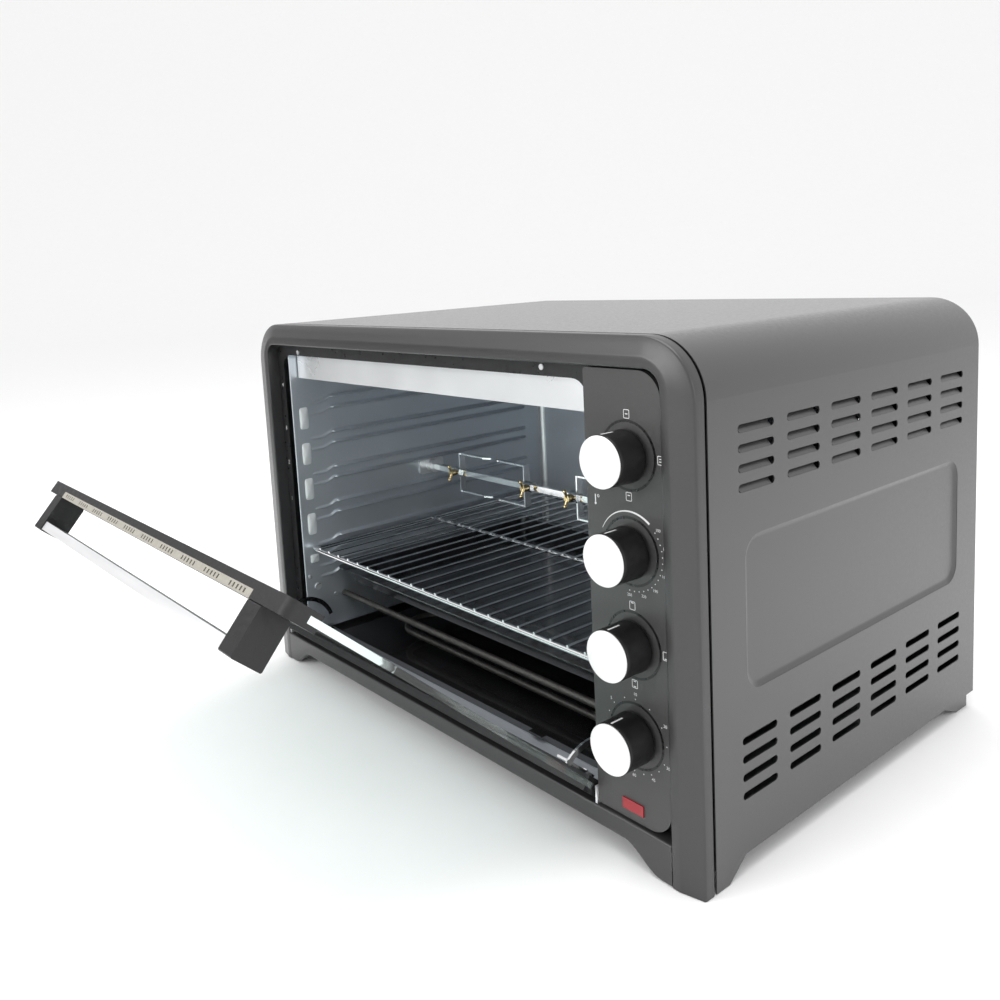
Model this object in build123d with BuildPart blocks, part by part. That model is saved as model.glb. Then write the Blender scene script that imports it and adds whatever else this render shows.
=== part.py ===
from build123d import *
import math
import os

os.makedirs("parts", exist_ok=True)

# Rotisserie oven, millimetres. X is the width (+X is the control side), +Y points to the
# rear and +Z is up. The origin is on the table, under the middle of the whole oven with its
# door half open.

# ---- driving dimensions of the cabinet ----
width = 620.0
height = 396.0
depth = 422.0
corner_radius = 44.0
foot_height = 15.0
sheet = 1.0
liner_sheet = 0.8
slip = 0.3
half = width / 2

# the front frame's recess decides how tall the door is
frame_side = 26.0
frame_top = 22.5
recess_top = height - frame_top
hinge_up = 40.0
door_top_gap = 2.5

# how far the half-open door and its handle stand out, and what stands out at the back
door_angle = 49.0
door_top = recess_top - hinge_up - door_top_gap
handle_reach = 41.0
edge_round = 1.5
hinge_back = 6.5
gland_reach = 9.0

tilt = math.radians(door_angle)
open_reach = (
    (door_top - edge_round) * math.sin(tilt) + (handle_reach - edge_round) * math.cos(tilt)
    + edge_round - hinge_back
)
front = (open_reach - depth - gland_reach) / 2
rear = front + depth

# ---- front frame ----
frame_depth = 14.0
bevel_side = 18.0
bevel_top = 13.5
bevel_depth = 4.5
recess_bottom = 32.0
recess_radius = 14.0
foot_toe = 36.0
foot_shoulder = 72.0
side_foot = 15.0
side_foot_slope = 35.5
cover_gap = 3.0
neck_inset = 3.0
neck_depth = 8.0

frame_back = front + frame_depth
recess_half = half - frame_side
cover_front = frame_back + cover_gap
plate_back = frame_back + sheet

# ---- louvres and the pressed panel on the cover's sides ----
louvre_length = 43.0
louvre_height = 6.0
louvre_columns = 6
louvre_rows = 4
louvre_row_pitch = 14.0
louvre_column_pitch = (depth - 125.0) / (louvre_columns - 1)
louvre_first = 33.0
louvre_upper_z = height - 88.5
louvre_lower_z = 80.5
louvre_lean = 4.5
panel_length = depth - 94.0
panel_height = height - 279.0
panel_radius = 18.0
panel_press = 2.5
panel_z = (louvre_upper_z + louvre_lower_z) / 2
rear_flange = 12.0
rear_foot_length = 20.0
rear_foot_slope = 36.0
rear_foot_width = 22.0
rear_foot_inset = 4.0
rear_foot_wall = 1.5

# ---- cavity ----
cavity_left = 48.0 - half
cavity_right = half - 106.0
cavity_floor = 33.0
cavity_top = height - 35.0
cavity_depth = depth - 38.0
flange_width = 14.0
flange_show = 10.0
guide_levels = 5
tray_level = 104.0
rack_level = 131.5
guide_pitch = (cavity_top - 63.5 - rack_level) / (guide_levels - 1)
guide_slot = 8.6
rib_height = 4.0
rib_reach = 6.0
rib_start = 50.0
rib_end = cavity_depth - 32.0
pad_width = 12.0
pad_height = 27.0
pad_start = 8.0

cavity_back = plate_back + cavity_depth
cavity_mid = (cavity_left + cavity_right) / 2
rack_levels = [rack_level + i * guide_pitch for i in range(guide_levels)]
levels = [tray_level] + rack_levels

# ---- control panel and knobs ----
panel_left = half - 99.0
panel_gap = 1.5
panel_set_back = 3.0
panel_sheet = 1.5
panel_corner = 20.0
control_x = half - 58.0
knob_count = 4
knob_radius = 19.3
knob_first = 102.4
knob_last = height - 84.8
knob_pitch = (knob_last - knob_first) / (knob_count - 1)
knob_reach = 26.5
knob_clear = 2.2
cap_thickness = 2.0
stem_radius = 3.0
running_gap = 0.1
switch_width = 34.0
switch_height = 30.0
switch_depth = 30.0
lens_width = 20.0
lens_height = 8.5
lens_x = half - 63.0
lens_z = 45.0

# ---- door and handle (s runs up the door from the hinge, t runs outwards) ----
door_side_gap = 3.0
door_panel_gap = 4.0
door_left = door_side_gap - recess_half
door_right = panel_left - door_panel_gap
door_corner = 8.0
door_half = 6.0
glass_thickness = 5.0
top_rail = 26.0
bottom_rail = 16.0
rail_grip = 9.0
vent_height = 6.0
handle_inset = 27.0
post_width = 18.0
handle_height = 25.0
bar_thickness = 8.0
trim_thickness = 0.8
pin_radius = 2.5
pin_grip = 12.0
bracket_sheet = 2.0
arm_radius = 37.0
arm_width = 5.0
arm_thickness = 2.0
arm_inset = 3.0
arm_sweep = 122.0
arm_foot = 34.0

hinge_y = front + hinge_back

# ---- rack, trays, heaters and spit ----
wire_radius = 1.25
rail_radius = 2.5
wire_pitch = 20.0
rack_play = 1.5
rack_front = 8.0
rack_depth = cavity_depth - 39.0
rack_corner = 7.0
tray_front = 40.0
tray_depth = cavity_depth - 84.0
tray_drop = 18.0
tray_rim = 11.0
tray_sheet = 1.0
tray_corner = 10.0
crumb_front = 22.0
crumb_depth = cavity_depth - 34.0
crumb_height = 6.0
crumb_play = 12.0
heater_radius = 3.5
heater_clear = 0.5
heater_low_z = 70.0
heater_loop_z = 50.0
heater_high_z = cavity_top - 15.0
heater_near = 50.0
heater_far = cavity_depth - 50.0
loop_near = 62.0
loop_gap = 60.0
loop_end = cavity_left + 122.0
insulator_radius = 7.0
insulator_length = 9.0
insulator_tail = 6.0
strip_height = 27.0
strip_set_back = 10.0
spit_back = cavity_depth / 2 - 2.5
spit_up = (cavity_floor + cavity_top) / 2 + 4.0
spit_square = 6.5
journal_radius = 3.0
bearing_length = 10.0
bearing_plate = 37.0
bearing_height = 18.0
fork_places = [cavity_left + x for x in (65.0, 181.0, 264.0, 380.0)]
fork_spread = 24.0
fork_reach = 55.0
fork_width = 6.5
fork_sheet = 1.8
fork_hub = 12.0
arrow_length = 10.0
arrow_width = 9.0
fork_fit = 0.1
screw_radius = 2.0
socket_radius = 8.0
socket_length = 14.0
drive_radius = 4.0
drive_length = 12.0
motor_radius = 24.5
motor_length = 20.0

spit_y = frame_back + spit_back + 0.5


def upright(y):
    """The upright plane across the cabinet at depth y, facing the front."""
    return Plane.XZ.offset(-y)


def arch(side_inset, top_inset, bottom, radius):
    """A face with two rounded top corners, standing on the height `bottom`."""
    top = height - top_inset
    with BuildSketch() as face:
        with Locations((0, bottom)):
            Rectangle(2 * (half - side_inset), top - bottom, align=(Align.CENTER, Align.MIN))
        fillet(face.vertices().group_by(Axis.Y)[-1], radius)
    return face.sketch


def box_between(x0, x1, y0, y1, z0, z1, mode=Mode.ADD):
    """A box given by its lowest and highest corner."""
    with Locations(((x0 + x1) / 2, (y0 + y1) / 2, (z0 + z1) / 2)):
        Box(x1 - x0, y1 - y0, z1 - z0, mode=mode)


def rod(start, end, radius, mode=Mode.ADD):
    """A round bar from one point to another."""
    axis = Vector(*end) - Vector(*start)
    with BuildSketch(Plane(origin=start, z_dir=axis)) as disc:
        Circle(radius)
    extrude(disc.sketch, amount=axis.length, mode=mode)


# =====================================================================================
# Outer shell
# =====================================================================================

# The cover is one sheet bent round both sides and the top, open at the front, back and
# underside. Its front lower corners reach down as feet.
louvre_starts = [cover_front + louvre_first + i * louvre_column_pitch
                 for i in range(louvre_columns)]
louvre_heights = [(z + (i - (louvre_rows - 1) / 2) * louvre_row_pitch, lean)
                  for z, lean in ((louvre_upper_z, 1), (louvre_lower_z, -1))
                  for i in range(louvre_rows)]
panel_mid = (cover_front + rear) / 2
screw_shank = 1.75
screw_head = 3.8
screw_places = [(side * (half - 7), z) for side in (-1, 1) for z in (60.0, height / 2, height - 76)]
screw_places += [(x, height - 7) for x in (-half / 2, half / 2)]

with BuildPart() as outer_cover:
    with BuildSketch(upright(cover_front)):
        add(arch(0, 0, foot_height, corner_radius))
        add(arch(sheet, sheet, foot_height - 10, corner_radius - sheet), mode=Mode.SUBTRACT)
    extrude(amount=-(rear - cover_front))
    for side in (-1, 1):
        skin = Plane.YZ.offset(side * half)
        with BuildSketch(skin):
            with BuildLine():
                Polyline(
                    (cover_front, foot_height),
                    (cover_front, 0),
                    (cover_front + side_foot, 0),
                    (cover_front + side_foot_slope, foot_height),
                    close=True,
                )
            make_face()
        extrude(amount=-side * sheet)
        # the pressed panel: a shallow step inwards with the sheet's own thickness
        with BuildSketch(skin):
            with Locations((panel_mid, panel_z)):
                RectangleRounded(panel_length, panel_height, panel_radius)
        extrude(amount=-side * (panel_press + sheet))
        with BuildSketch(skin):
            with Locations((panel_mid, panel_z)):
                RectangleRounded(panel_length - 2 * sheet, panel_height - 2 * sheet, panel_radius - sheet)
        extrude(amount=-side * panel_press, mode=Mode.SUBTRACT)
        with BuildSketch(skin):
            with Locations(*[(y + louvre_length / 2, z) for y in louvre_starts for z, _ in louvre_heights]):
                SlotOverall(louvre_length, louvre_height)
        extrude(amount=-side * sheet, mode=Mode.SUBTRACT)
    # a flange round the back for the rear panel's screws
    with BuildSketch(upright(rear - sheet)):
        add(arch(sheet / 2, sheet / 2, foot_height + sheet, corner_radius - sheet / 2))
        add(arch(rear_flange, rear_flange, foot_height - 10, corner_radius - rear_flange), mode=Mode.SUBTRACT)
    extrude(amount=sheet)
    # each louvre's tongue leans inwards from one long edge of its slot
    with BuildSketch(upright(0), mode=Mode.PRIVATE) as tongues:
        for side in (-1, 1):
            for z, lean in louvre_heights:
                foot = z - lean * louvre_height / 2
                tip = z + lean * (louvre_height / 2 - 1)
                with BuildLine():
                    Polyline(
                        (side * half, foot - lean * 0.6),
                        (side * (half - sheet), foot - lean * 0.6),
                        (side * (half - sheet - louvre_lean), tip),
                        (side * (half - louvre_lean), tip),
                        close=True,
                    )
                make_face()
    for y in louvre_starts:
        with BuildSketch(upright(y + louvre_height / 2)):
            add(tongues.sketch_local)
        extrude(amount=-(louvre_length - louvre_height))
    for x, z in screw_places:
        rod((x, rear + 5, z), (x, rear - 5, z), screw_shank, Mode.SUBTRACT)
outer_cover.part.label = "outer_cover"
export_step(outer_cover.part, "parts/outer_cover.step")


def foot_gap(lift):
    """The opening between the two front feet, with a soft S on each side."""
    toe = half - foot_toe
    shoulder = half - foot_shoulder
    top = foot_height + 1.5 + lift
    with BuildSketch() as face:
        with BuildLine():
            Polyline((-toe - lift, -5), (toe + lift, -5))
            Line((toe + lift, -5), (toe + lift, lift))
            Spline((toe + lift, lift), (shoulder, top), tangents=[(-1, 0), (-1, 0)])
            Line((shoulder, top), (-shoulder, top))
            Spline((-shoulder, top), (-toe - lift, lift), tangents=[(-1, 0), (-1, 0)])
            Line((-toe - lift, lift), (-toe - lift, -5))
        make_face()
    return face.sketch


def frame_body(inset):
    """The front frame's full shape, drawn in by `inset` on every outside face."""
    with BuildPart() as body:
        with BuildSketch(upright(frame_back + inset)):
            add(arch(inset, inset, inset, corner_radius - inset))
        extrude(amount=frame_depth - bevel_depth + inset)
        with BuildSketch(upright(front + bevel_depth)):
            add(arch(inset, inset, inset, corner_radius - inset))
        with BuildSketch(upright(front + inset)):
            add(arch(bevel_side + inset, bevel_top + inset, inset, corner_radius - bevel_side - inset))
        loft()
        with BuildSketch(upright(frame_back + 5)):
            add(foot_gap(inset))
        extrude(amount=frame_depth + 10, mode=Mode.SUBTRACT)
    return body.part


def recess(inset):
    """The opening in the front frame, rounded at the top, drawn in by `inset`."""
    high = recess_top - recess_bottom - 2 * inset
    with BuildSketch() as face:
        with Locations((0, (recess_top + recess_bottom) / 2)):
            Rectangle(2 * (recess_half - inset), high)
        fillet(face.vertices().group_by(Axis.Y)[-1], recess_radius - inset)
    return face.sketch


# The bevelled front frame is one pressed sheet with a wall running back round the recess.
with BuildPart() as front_frame:
    add(frame_body(0))
    add(frame_body(sheet), mode=Mode.SUBTRACT)
    with BuildSketch(upright(frame_back)):
        add(recess(-sheet))
    extrude(amount=frame_depth - sheet / 2)
    with BuildSketch(upright(frame_back + 1)):
        add(recess(0))
    extrude(amount=frame_depth + 2, mode=Mode.SUBTRACT)
front_frame.part.label = "front_frame"
export_step(front_frame.part, "parts/front_frame.step")

# The black plate behind the frame closes the cabinet's front. Its edge turns back inside
# the cover and makes the dark joint between frame and cover.
with BuildPart() as face_plate:
    with BuildSketch(upright(plate_back)):
        add(arch(neck_inset, neck_inset, foot_height, corner_radius - neck_inset))
    extrude(amount=sheet)
    with BuildSketch(upright(plate_back + neck_depth)):
        add(arch(neck_inset, neck_inset, foot_height, corner_radius - neck_inset))
        add(
            arch(neck_inset + sheet, neck_inset + sheet, foot_height - 10, corner_radius - neck_inset - sheet),
            mode=Mode.SUBTRACT,
        )
    extrude(amount=neck_depth)
    box_between(
        cavity_left - flange_show, cavity_right, frame_back - 1, plate_back + 1, cavity_floor, cavity_top,
        Mode.SUBTRACT,
    )
    box_between(
        control_x - switch_width / 2 - 3, control_x + switch_width / 2 + 3, frame_back - 1, plate_back + 1,
        lens_z - 8, knob_first + (knob_count - 1) * knob_pitch + switch_height / 2 + 6, Mode.SUBTRACT,
    )
face_plate.part.label = "face_plate"
export_step(face_plate.part, "parts/face_plate.step")

# ---- base, rear panel and rear feet ----
with BuildPart() as base_plate:
    box_between(
        -half + sheet, half - sheet, plate_back, rear - sheet, foot_height, foot_height + sheet,
    )
    with BuildSketch(Plane.XY.offset(foot_height)):
        with Locations((0, -80), (0, 80)):
            with GridLocations(26, 30, 14, 2):
                SlotOverall(20, 4)
    extrude(amount=sheet, mode=Mode.SUBTRACT)
    box_between(half - sheet - neck_inset, half, plate_back - 1, plate_back + neck_depth, 0, 99, Mode.SUBTRACT)
    box_between(-half, -half + sheet + neck_inset, plate_back - 1, plate_back + neck_depth, 0, 99, Mode.SUBTRACT)
base_plate.part.label = "base_plate"
export_step(base_plate.part, "parts/base_plate.step")

gland_x = half - 60
gland_z = 62.0
gland_radius = 8.0

with BuildPart() as rear_panel:
    with BuildSketch(upright(rear)):
        add(arch(sheet, sheet, foot_height, corner_radius - sheet))
        with Locations((0, 90), (0, height - 110)):
            with GridLocations(30, 16, 14, 3):
                SlotOverall(22, 4, mode=Mode.SUBTRACT)
        with Locations((gland_x, gland_z)):
            Circle(gland_radius, mode=Mode.SUBTRACT)
        with Locations(*screw_places):
            Circle(screw_shank, mode=Mode.SUBTRACT)
    extrude(amount=sheet)
rear_panel.part.label = "rear_panel"
export_step(rear_panel.part, "parts/rear_panel.step")

with BuildPart() as cover_screws:
    for x, z in screw_places:
        rod((x, rear + 2.2, z), (x, rear, z), screw_head)
        rod((x, rear + 1, z), (x, rear - 7, z), screw_shank)
        box_between(x - 3, x + 3, rear + 1.2, rear + 3, z - 0.5, z + 0.5, Mode.SUBTRACT)
        box_between(x - 0.5, x + 0.5, rear + 1.2, rear + 3, z - 3, z + 3, Mode.SUBTRACT)
cover_screws.part.label = "cover_screws"
export_step(cover_screws.part, "parts/cover_screws.step")

with BuildPart() as cord_gland:
    rod((gland_x, rear + gland_reach, gland_z), (gland_x, rear - 8, gland_z), gland_radius)
    rod((gland_x, rear + 3, gland_z), (gland_x, rear, gland_z), gland_radius + 4)
    rod((gland_x, rear + gland_reach + 1, gland_z), (gland_x, rear - 9, gland_z), 3.6, Mode.SUBTRACT)
cord_gland.part.label = "cord_gland"
export_step(cord_gland.part, "parts/cord_gland.step")

foot_end = rear - 4.5
foot_flat = foot_end - rear_foot_length
with BuildPart() as rear_feet:
    for side in (-1, 1):
        with BuildSketch(Plane.YZ.offset(side * (half - rear_foot_inset))):
            with BuildLine():
                Polyline(
                    (foot_end, foot_height),
                    (foot_end, 0),
                    (foot_flat, 0),
                    (foot_flat - rear_foot_slope, foot_height),
                    close=True,
                )
            make_face()
        extrude(amount=-side * rear_foot_width)
        with BuildSketch(Plane.YZ.offset(side * (half - rear_foot_inset - rear_foot_wall))):
            with BuildLine():
                Polyline(
                    (foot_end - rear_foot_wall, foot_height),
                    (foot_end - rear_foot_wall, rear_foot_wall),
                    (foot_flat + 0.5, rear_foot_wall),
                    (foot_flat - rear_foot_slope + 5, foot_height),
                    close=True,
                )
            make_face()
        extrude(amount=-side * (rear_foot_width - 2 * rear_foot_wall), mode=Mode.SUBTRACT)
rear_feet.part.label = "rear_feet"
export_step(rear_feet.part, "parts/rear_feet.step")

# =====================================================================================
# Cavity liner, five sheets
# =====================================================================================

near_rod = plate_back + heater_near
far_rod = plate_back + heater_far
loop_a = plate_back + loop_near
loop_b = loop_a + loop_gap
straight_rods = [(near_rod, heater_high_z), (far_rod, heater_high_z),
                 (near_rod, heater_low_z), (far_rod, heater_low_z)]
arm_slot = arm_inset + arm_thickness + 2.5
arm_slot_back = hinge_y + arm_radius + arm_width

for name, face, side in (("left", cavity_left, -1), ("right", cavity_right, 1)):
    with BuildPart() as wall:
        box_between(
            min(face, face + side * liner_sheet), max(face, face + side * liner_sheet),
            plate_back, cavity_back, cavity_floor, cavity_top,
        )
        if side < 0:
            box_between(face - flange_width, face, plate_back, plate_back + liner_sheet, cavity_floor, cavity_top)
        near = min(face, face - side * rib_reach)
        for level in levels:
            for low in (level - rib_height, level + guide_slot):
                with BuildSketch(Plane.YZ.offset(face)):
                    with Locations((plate_back + (rib_start + rib_end) / 2, low + rib_height / 2)):
                        SlotOverall(rib_end - rib_start, rib_height)
                extrude(amount=-side * rib_reach)
        pads = [(tray_level + rack_level) / 2 + 2.5] + [z + guide_slot / 2 + 26 for z in rack_levels[:-1]]
        with BuildSketch(Plane.YZ.offset(face)):
            with Locations(*[(plate_back + pad_start + pad_width / 2, z) for z in pads]):
                RectangleRounded(pad_width, pad_height if guide_pitch > 30 else guide_pitch * 0.6, 2)
        extrude(amount=-side * liner_sheet)
        holes = straight_rods + ([(loop_a, heater_loop_z), (loop_b, heater_loop_z)] if side > 0 else [])
        for y, z in holes:
            rod((face - 3, y, z), (face + 3, y, z), heater_radius + heater_clear, Mode.SUBTRACT)
        if side > 0:
            rod((face - 3, spit_y, spit_up), (face + 3, spit_y, spit_up), drive_radius + 1, Mode.SUBTRACT)
    wall.part.label = f"liner_{name}_wall"
    export_step(wall.part, f"parts/liner_{name}_wall.step")

with BuildPart() as liner_top:
    box_between(
        cavity_left - liner_sheet, cavity_right + liner_sheet, plate_back, cavity_back + liner_sheet,
        cavity_top, cavity_top + liner_sheet,
    )
liner_top.part.label = "liner_top"
export_step(liner_top.part, "parts/liner_top.step")

with BuildPart() as liner_back:
    box_between(
        cavity_left - liner_sheet, cavity_right + liner_sheet, cavity_back, cavity_back + liner_sheet,
        cavity_floor - liner_sheet, cavity_top,
    )
    with BuildSketch(upright(cavity_back)):
        with Locations((cavity_mid, (cavity_floor + cavity_top) / 2)):
            RectangleRounded(2 * half - 320, cavity_top - 171, 20)
    extrude(amount=1.2)
liner_back.part.label = "liner_back"
export_step(liner_back.part, "parts/liner_back.step")

with BuildPart() as liner_floor:
    box_between(
        cavity_left - liner_sheet, cavity_right + liner_sheet, plate_back, cavity_back,
        cavity_floor - liner_sheet, cavity_floor,
    )
    for edge, side in ((cavity_left, 1), (cavity_right, -1)):
        box_between(
            min(edge, edge + side * arm_slot), max(edge, edge + side * arm_slot),
            plate_back - 1, arm_slot_back, cavity_floor - 2, cavity_floor + 2, Mode.SUBTRACT,
        )
liner_floor.part.label = "liner_floor"
export_step(liner_floor.part, "parts/liner_floor.step")

strip_y = plate_back + strip_set_back
with BuildPart() as reflector_strip:
    box_between(
        cavity_left + 2, cavity_right - 2, strip_y, strip_y + liner_sheet, cavity_top - strip_height, cavity_top,
    )
    box_between(
        cavity_left + 2, cavity_right - 2, strip_y, strip_y + 12, cavity_top - liner_sheet, cavity_top,
    )
    box_between(
        cavity_left + 2, cavity_right - 2, strip_y, strip_y + 5,
        cavity_top - strip_height, cavity_top - strip_height + liner_sheet,
    )
reflector_strip.part.label = "reflector_strip"
export_step(reflector_strip.part, "parts/reflector_strip.step")

# rivets and one screw on each side wall, and two studs on the face plate
rivet_back = cavity_depth - 12
rivet_spots = [(6.0, 99.8, 2.2), (38.5, 71.7, 2.2), (15.3, 86.4, 4.0)]
rivet_spots += [(rivet_back, 90.0, 2.2), (rivet_back, cavity_top - 61, 2.2)]
with BuildPart() as liner_rivets:
    for face, side in ((cavity_left, 1), (cavity_right, -1)):
        for y, z, radius in rivet_spots:
            rod((face, plate_back + y, z), (face + side * 1.2, plate_back + y, z), radius)
    for x, z in ((cavity_left + 26, cavity_top + 4), (cavity_right - 48, cavity_top + 7)):
        rod((x, frame_back, z), (x, frame_back - 0.9, z), 2.4)
liner_rivets.part.label = "liner_rivets"
export_step(liner_rivets.part, "parts/liner_rivets.step")

# ---- heating elements ----
rod_left = cavity_left - liner_sheet - insulator_length - insulator_tail
rod_right = cavity_right + liner_sheet + insulator_length + insulator_tail
rod_names = ("upper_heater_front", "upper_heater_rear", "lower_heater_front", "lower_heater_rear")
for name, (y, z) in zip(rod_names, straight_rods):
    with BuildPart() as heater:
        rod((rod_left, y, z), (rod_right, y, z), heater_radius)
        rod((rod_left - 8, y, z), (rod_left, y, z), 1.5)
        rod((rod_right, y, z), (rod_right + 8, y, z), 1.5)
    heater.part.label = name
    export_step(heater.part, f"parts/{name}.step")

with BuildPart() as lower_heater_middle:
    with BuildLine() as loop:
        Polyline((rod_right, loop_a, heater_loop_z), (loop_end, loop_a, heater_loop_z))
        ThreePointArc(
            (loop_end, loop_a, heater_loop_z),
            (loop_end - loop_gap / 2, (loop_a + loop_b) / 2, heater_loop_z),
            (loop_end, loop_b, heater_loop_z),
        )
        Polyline((loop_end, loop_b, heater_loop_z), (rod_right, loop_b, heater_loop_z))
    with BuildSketch(Plane(origin=(rod_right, loop_a, heater_loop_z), z_dir=(-1, 0, 0))):
        Circle(heater_radius)
    sweep(path=loop.line)
    for y in (loop_a, loop_b):
        rod((rod_right, y, heater_loop_z), (rod_right + 8, y, heater_loop_z), 1.5)
lower_heater_middle.part.label = "lower_heater_middle"
export_step(lower_heater_middle.part, "parts/lower_heater_middle.step")

right_rods = straight_rods + [(loop_a, heater_loop_z), (loop_b, heater_loop_z)]
collars = [(cavity_left - liner_sheet, -1, y, z) for y, z in straight_rods]
collars += [(cavity_right + liner_sheet, 1, y, z) for y, z in right_rods]
with BuildPart() as heater_insulators:
    for x, side, y, z in collars:
        rod((x, y, z), (x + side * insulator_length, y, z), insulator_radius)
    for x, side, y, z in collars:
        rod((x - side, y, z), (x + side * (insulator_length + 1), y, z), heater_radius, Mode.SUBTRACT)
heater_insulators.part.label = "heater_insulators"
export_step(heater_insulators.part, "parts/heater_insulators.step")

# =====================================================================================
# Rack and trays
# =====================================================================================

rack_left = cavity_left + rack_play + rail_radius
rack_right = cavity_right - rack_play - rail_radius
rack_near = plate_back + rack_front + rail_radius
rack_far = rack_near + rack_depth
rail_z = rack_level + slip + rail_radius
wire_z = rail_z + rail_radius + wire_radius - 0.4
wire_count = int((rack_right - rack_left - 10) / wire_pitch)
with BuildSketch(Plane.XY.offset(rail_z)) as rim:
    with Locations((cavity_mid, (rack_near + rack_far) / 2)):
        RectangleRounded(rack_right - rack_left, rack_depth, rack_corner)
rim_path = rim.sketch.face().outer_wire()
with BuildPart() as wire_rack:
    with BuildSketch(Plane(origin=rim_path @ 0, z_dir=rim_path % 0)):
        Circle(rail_radius)
    sweep(path=rim_path)
    middle = (rack_near + rack_far) / 2
    rod((rack_left, middle, rail_z), (rack_right, middle, rail_z), rail_radius - 0.2)
    for i in range(wire_count):
        x = (rack_left + rack_right) / 2 + (i - (wire_count - 1) / 2) * wire_pitch
        rod((x, rack_near - 1.5, wire_z), (x, rack_far + 1.5, wire_z), wire_radius)
wire_rack.part.label = "wire_rack"
export_step(wire_rack.part, "parts/wire_rack.step")

tray_near = plate_back + tray_front
tray_far = tray_near + tray_depth
tray_half = (cavity_right - cavity_left) / 2 - rack_play
rim_z = tray_level + slip
with BuildPart() as baking_tray:
    with BuildSketch(Plane.XY.offset(rim_z)):
        with Locations((cavity_mid, (tray_near + tray_far) / 2)):
            RectangleRounded(2 * tray_half, tray_depth, tray_corner)
    extrude(amount=tray_sheet)
    with BuildSketch(Plane.XY.offset(rim_z + tray_sheet)):
        with Locations((cavity_mid, (tray_near + tray_far) / 2)):
            RectangleRounded(2 * (tray_half - tray_rim), tray_depth - 2 * tray_rim, tray_corner)
    extrude(amount=-tray_drop, taper=8)
    with BuildSketch(Plane.XY.offset(rim_z + tray_sheet)):
        with Locations((cavity_mid, (tray_near + tray_far) / 2)):
            RectangleRounded(
                2 * (tray_half - tray_rim - tray_sheet), tray_depth - 2 * tray_rim - 2 * tray_sheet,
                tray_corner - tray_sheet,
            )
    extrude(amount=-(tray_drop - tray_sheet), taper=8, mode=Mode.SUBTRACT)
baking_tray.part.label = "baking_tray"
export_step(baking_tray.part, "parts/baking_tray.step")

crumb_near = plate_back + crumb_front
crumb_left = cavity_left + crumb_play
crumb_right = cavity_right - crumb_play
crumb_z = cavity_floor + slip
with BuildPart() as crumb_tray:
    box_between(crumb_left, crumb_right, crumb_near, crumb_near + crumb_depth, crumb_z, crumb_z + crumb_height)
    box_between(
        crumb_left + tray_sheet, crumb_right - tray_sheet,
        crumb_near + tray_sheet, crumb_near + crumb_depth - tray_sheet,
        crumb_z + tray_sheet, crumb_z + crumb_height + 1, Mode.SUBTRACT,
    )
    hook_x = crumb_right - 85
    box_between(hook_x - 8, hook_x + 8, crumb_near - 5, crumb_near + 1, crumb_z + crumb_height - 1.2,
                crumb_z + crumb_height)
crumb_tray.part.label = "crumb_tray"
export_step(crumb_tray.part, "parts/crumb_tray.step")

# =====================================================================================
# Rotisserie
# =====================================================================================

bearing_face = cavity_left + bearing_length
socket_end = cavity_right - 4
socket_start = socket_end - socket_length
across = Plane.YZ
with BuildPart() as spit_bearing:
    with BuildSketch(across.offset(cavity_left)):
        with Locations((spit_y, spit_up)):
            RectangleRounded(bearing_plate, bearing_height, 3)
    extrude(amount=2)
    rod((cavity_left, spit_y, spit_up), (bearing_face, spit_y, spit_up), bearing_height / 2 - 1)
    rod((cavity_left + 1, spit_y, spit_up), (bearing_face + 1, spit_y, spit_up),
        journal_radius + running_gap, Mode.SUBTRACT)
spit_bearing.part.label = "spit_bearing"
export_step(spit_bearing.part, "parts/spit_bearing.step")

with BuildPart() as spit_shaft:
    with BuildSketch(across.offset(bearing_face + 1)):
        with Locations((spit_y, spit_up)):
            Rectangle(spit_square, spit_square)
    extrude(amount=socket_end - 1.5 - bearing_face - 1)
    rod((cavity_left + 1.6, spit_y, spit_up), (bearing_face + 2, spit_y, spit_up), journal_radius)
spit_shaft.part.label = "spit_shaft"
export_step(spit_shaft.part, "parts/spit_shaft.step")

with BuildPart() as drive_socket:
    rod((socket_start, spit_y, spit_up), (socket_end, spit_y, spit_up), socket_radius)
    rod((socket_end - 1, spit_y, spit_up), (cavity_right + liner_sheet + drive_length, spit_y, spit_up), drive_radius)
    with BuildSketch(across.offset(socket_start)):
        with Locations((spit_y, spit_up)):
            Rectangle(spit_square + 0.4, spit_square + 0.4)
    extrude(amount=socket_length - 1, mode=Mode.SUBTRACT)
drive_socket.part.label = "drive_socket"
export_step(drive_socket.part, "parts/drive_socket.step")

motor_face = cavity_right + liner_sheet
with BuildPart() as rotisserie_motor:
    rod((motor_face, spit_y, spit_up), (motor_face + motor_length, spit_y, spit_up), motor_radius)
    box_between(
        motor_face, motor_face + 1.5, spit_y - motor_radius - 8, spit_y + motor_radius + 8, spit_up - 8, spit_up + 8,
    )
    rod(
        (motor_face - 1, spit_y, spit_up), (motor_face + drive_length + 0.6, spit_y, spit_up),
        drive_radius + running_gap, Mode.SUBTRACT,
    )
rotisserie_motor.part.label = "rotisserie_motor"
export_step(rotisserie_motor.part, "parts/rotisserie_motor.step")

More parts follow.
